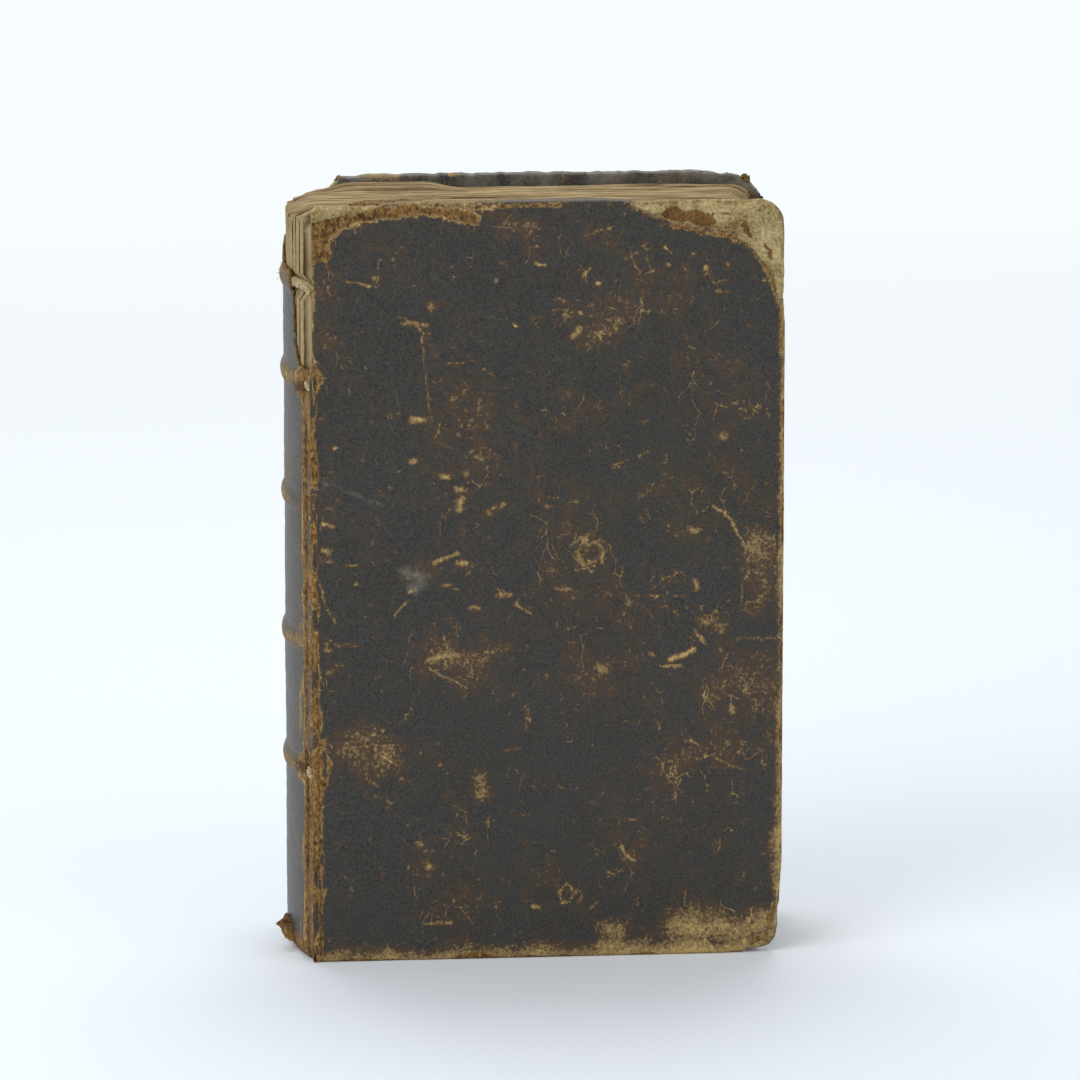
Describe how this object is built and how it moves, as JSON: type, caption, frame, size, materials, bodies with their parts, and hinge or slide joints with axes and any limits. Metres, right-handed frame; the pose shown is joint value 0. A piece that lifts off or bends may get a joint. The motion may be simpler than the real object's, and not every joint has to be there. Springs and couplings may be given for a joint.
{
  "type": "antique leather-bound book",
  "caption": "Small antique book in worn dark calf over pasteboard, sewn on raised cords, with hinged front and back covers and a torn spine head.",
  "frame": {"origin": "middle of the book's box, on the surface that its tail edge stands on", "axes": "+Z towards the head, -Y out of the front cover, -X towards the spine, +X towards the fore edge"},
  "size_m": [0.1071, 0.039, 0.164],
  "materials": {
    "leaves": "aged rag paper, folds and trimmed edges browned",
    "hemp_cord": "twisted hemp cord, dusty",
    "endband_thread": "linen thread over a cord core, soiled",
    "spine_calf": "dark calf, rubbed smooth, cracked at the joints",
    "cover_calf": "dark calf, scuffed, raw leather showing at the edges",
    "pasteboard": "grainy grey-tan pasteboard",
    "pastedown_paper": "plain aged laid paper"
  },
  "bodies": {
    "binding": {"text_block": "leaves", "sewing_cord_1": "hemp_cord", "sewing_cord_2": "hemp_cord", "sewing_cord_3": "hemp_cord", "sewing_cord_4": "hemp_cord", "sewing_cord_5": "hemp_cord", "tail_endband": "endband_thread", "spine_leather": "spine_calf"},
    "front_cover": {"front_board": "pasteboard", "front_cover_leather": "cover_calf", "front_pastedown": "pastedown_paper", "front_cord_slips": "hemp_cord"},
    "back_cover": {"back_board": "pasteboard", "back_cover_leather": "cover_calf", "back_pastedown": "pastedown_paper", "back_cord_slips": "hemp_cord"}
  },
  "joints": [
    {"name": "front_hinge", "type": "hinge", "parent": "binding", "child": "front_cover", "pos_m": [-0.04675, -0.01965, 0.082], "axis": [0, 0, -1], "range_deg": [0, 180]},
    {"name": "back_hinge", "type": "hinge", "parent": "binding", "child": "back_cover", "pos_m": [-0.04675, 0.01965, 0.082], "axis": [0, 0, 1], "range_deg": [0, 180]}
  ]
}
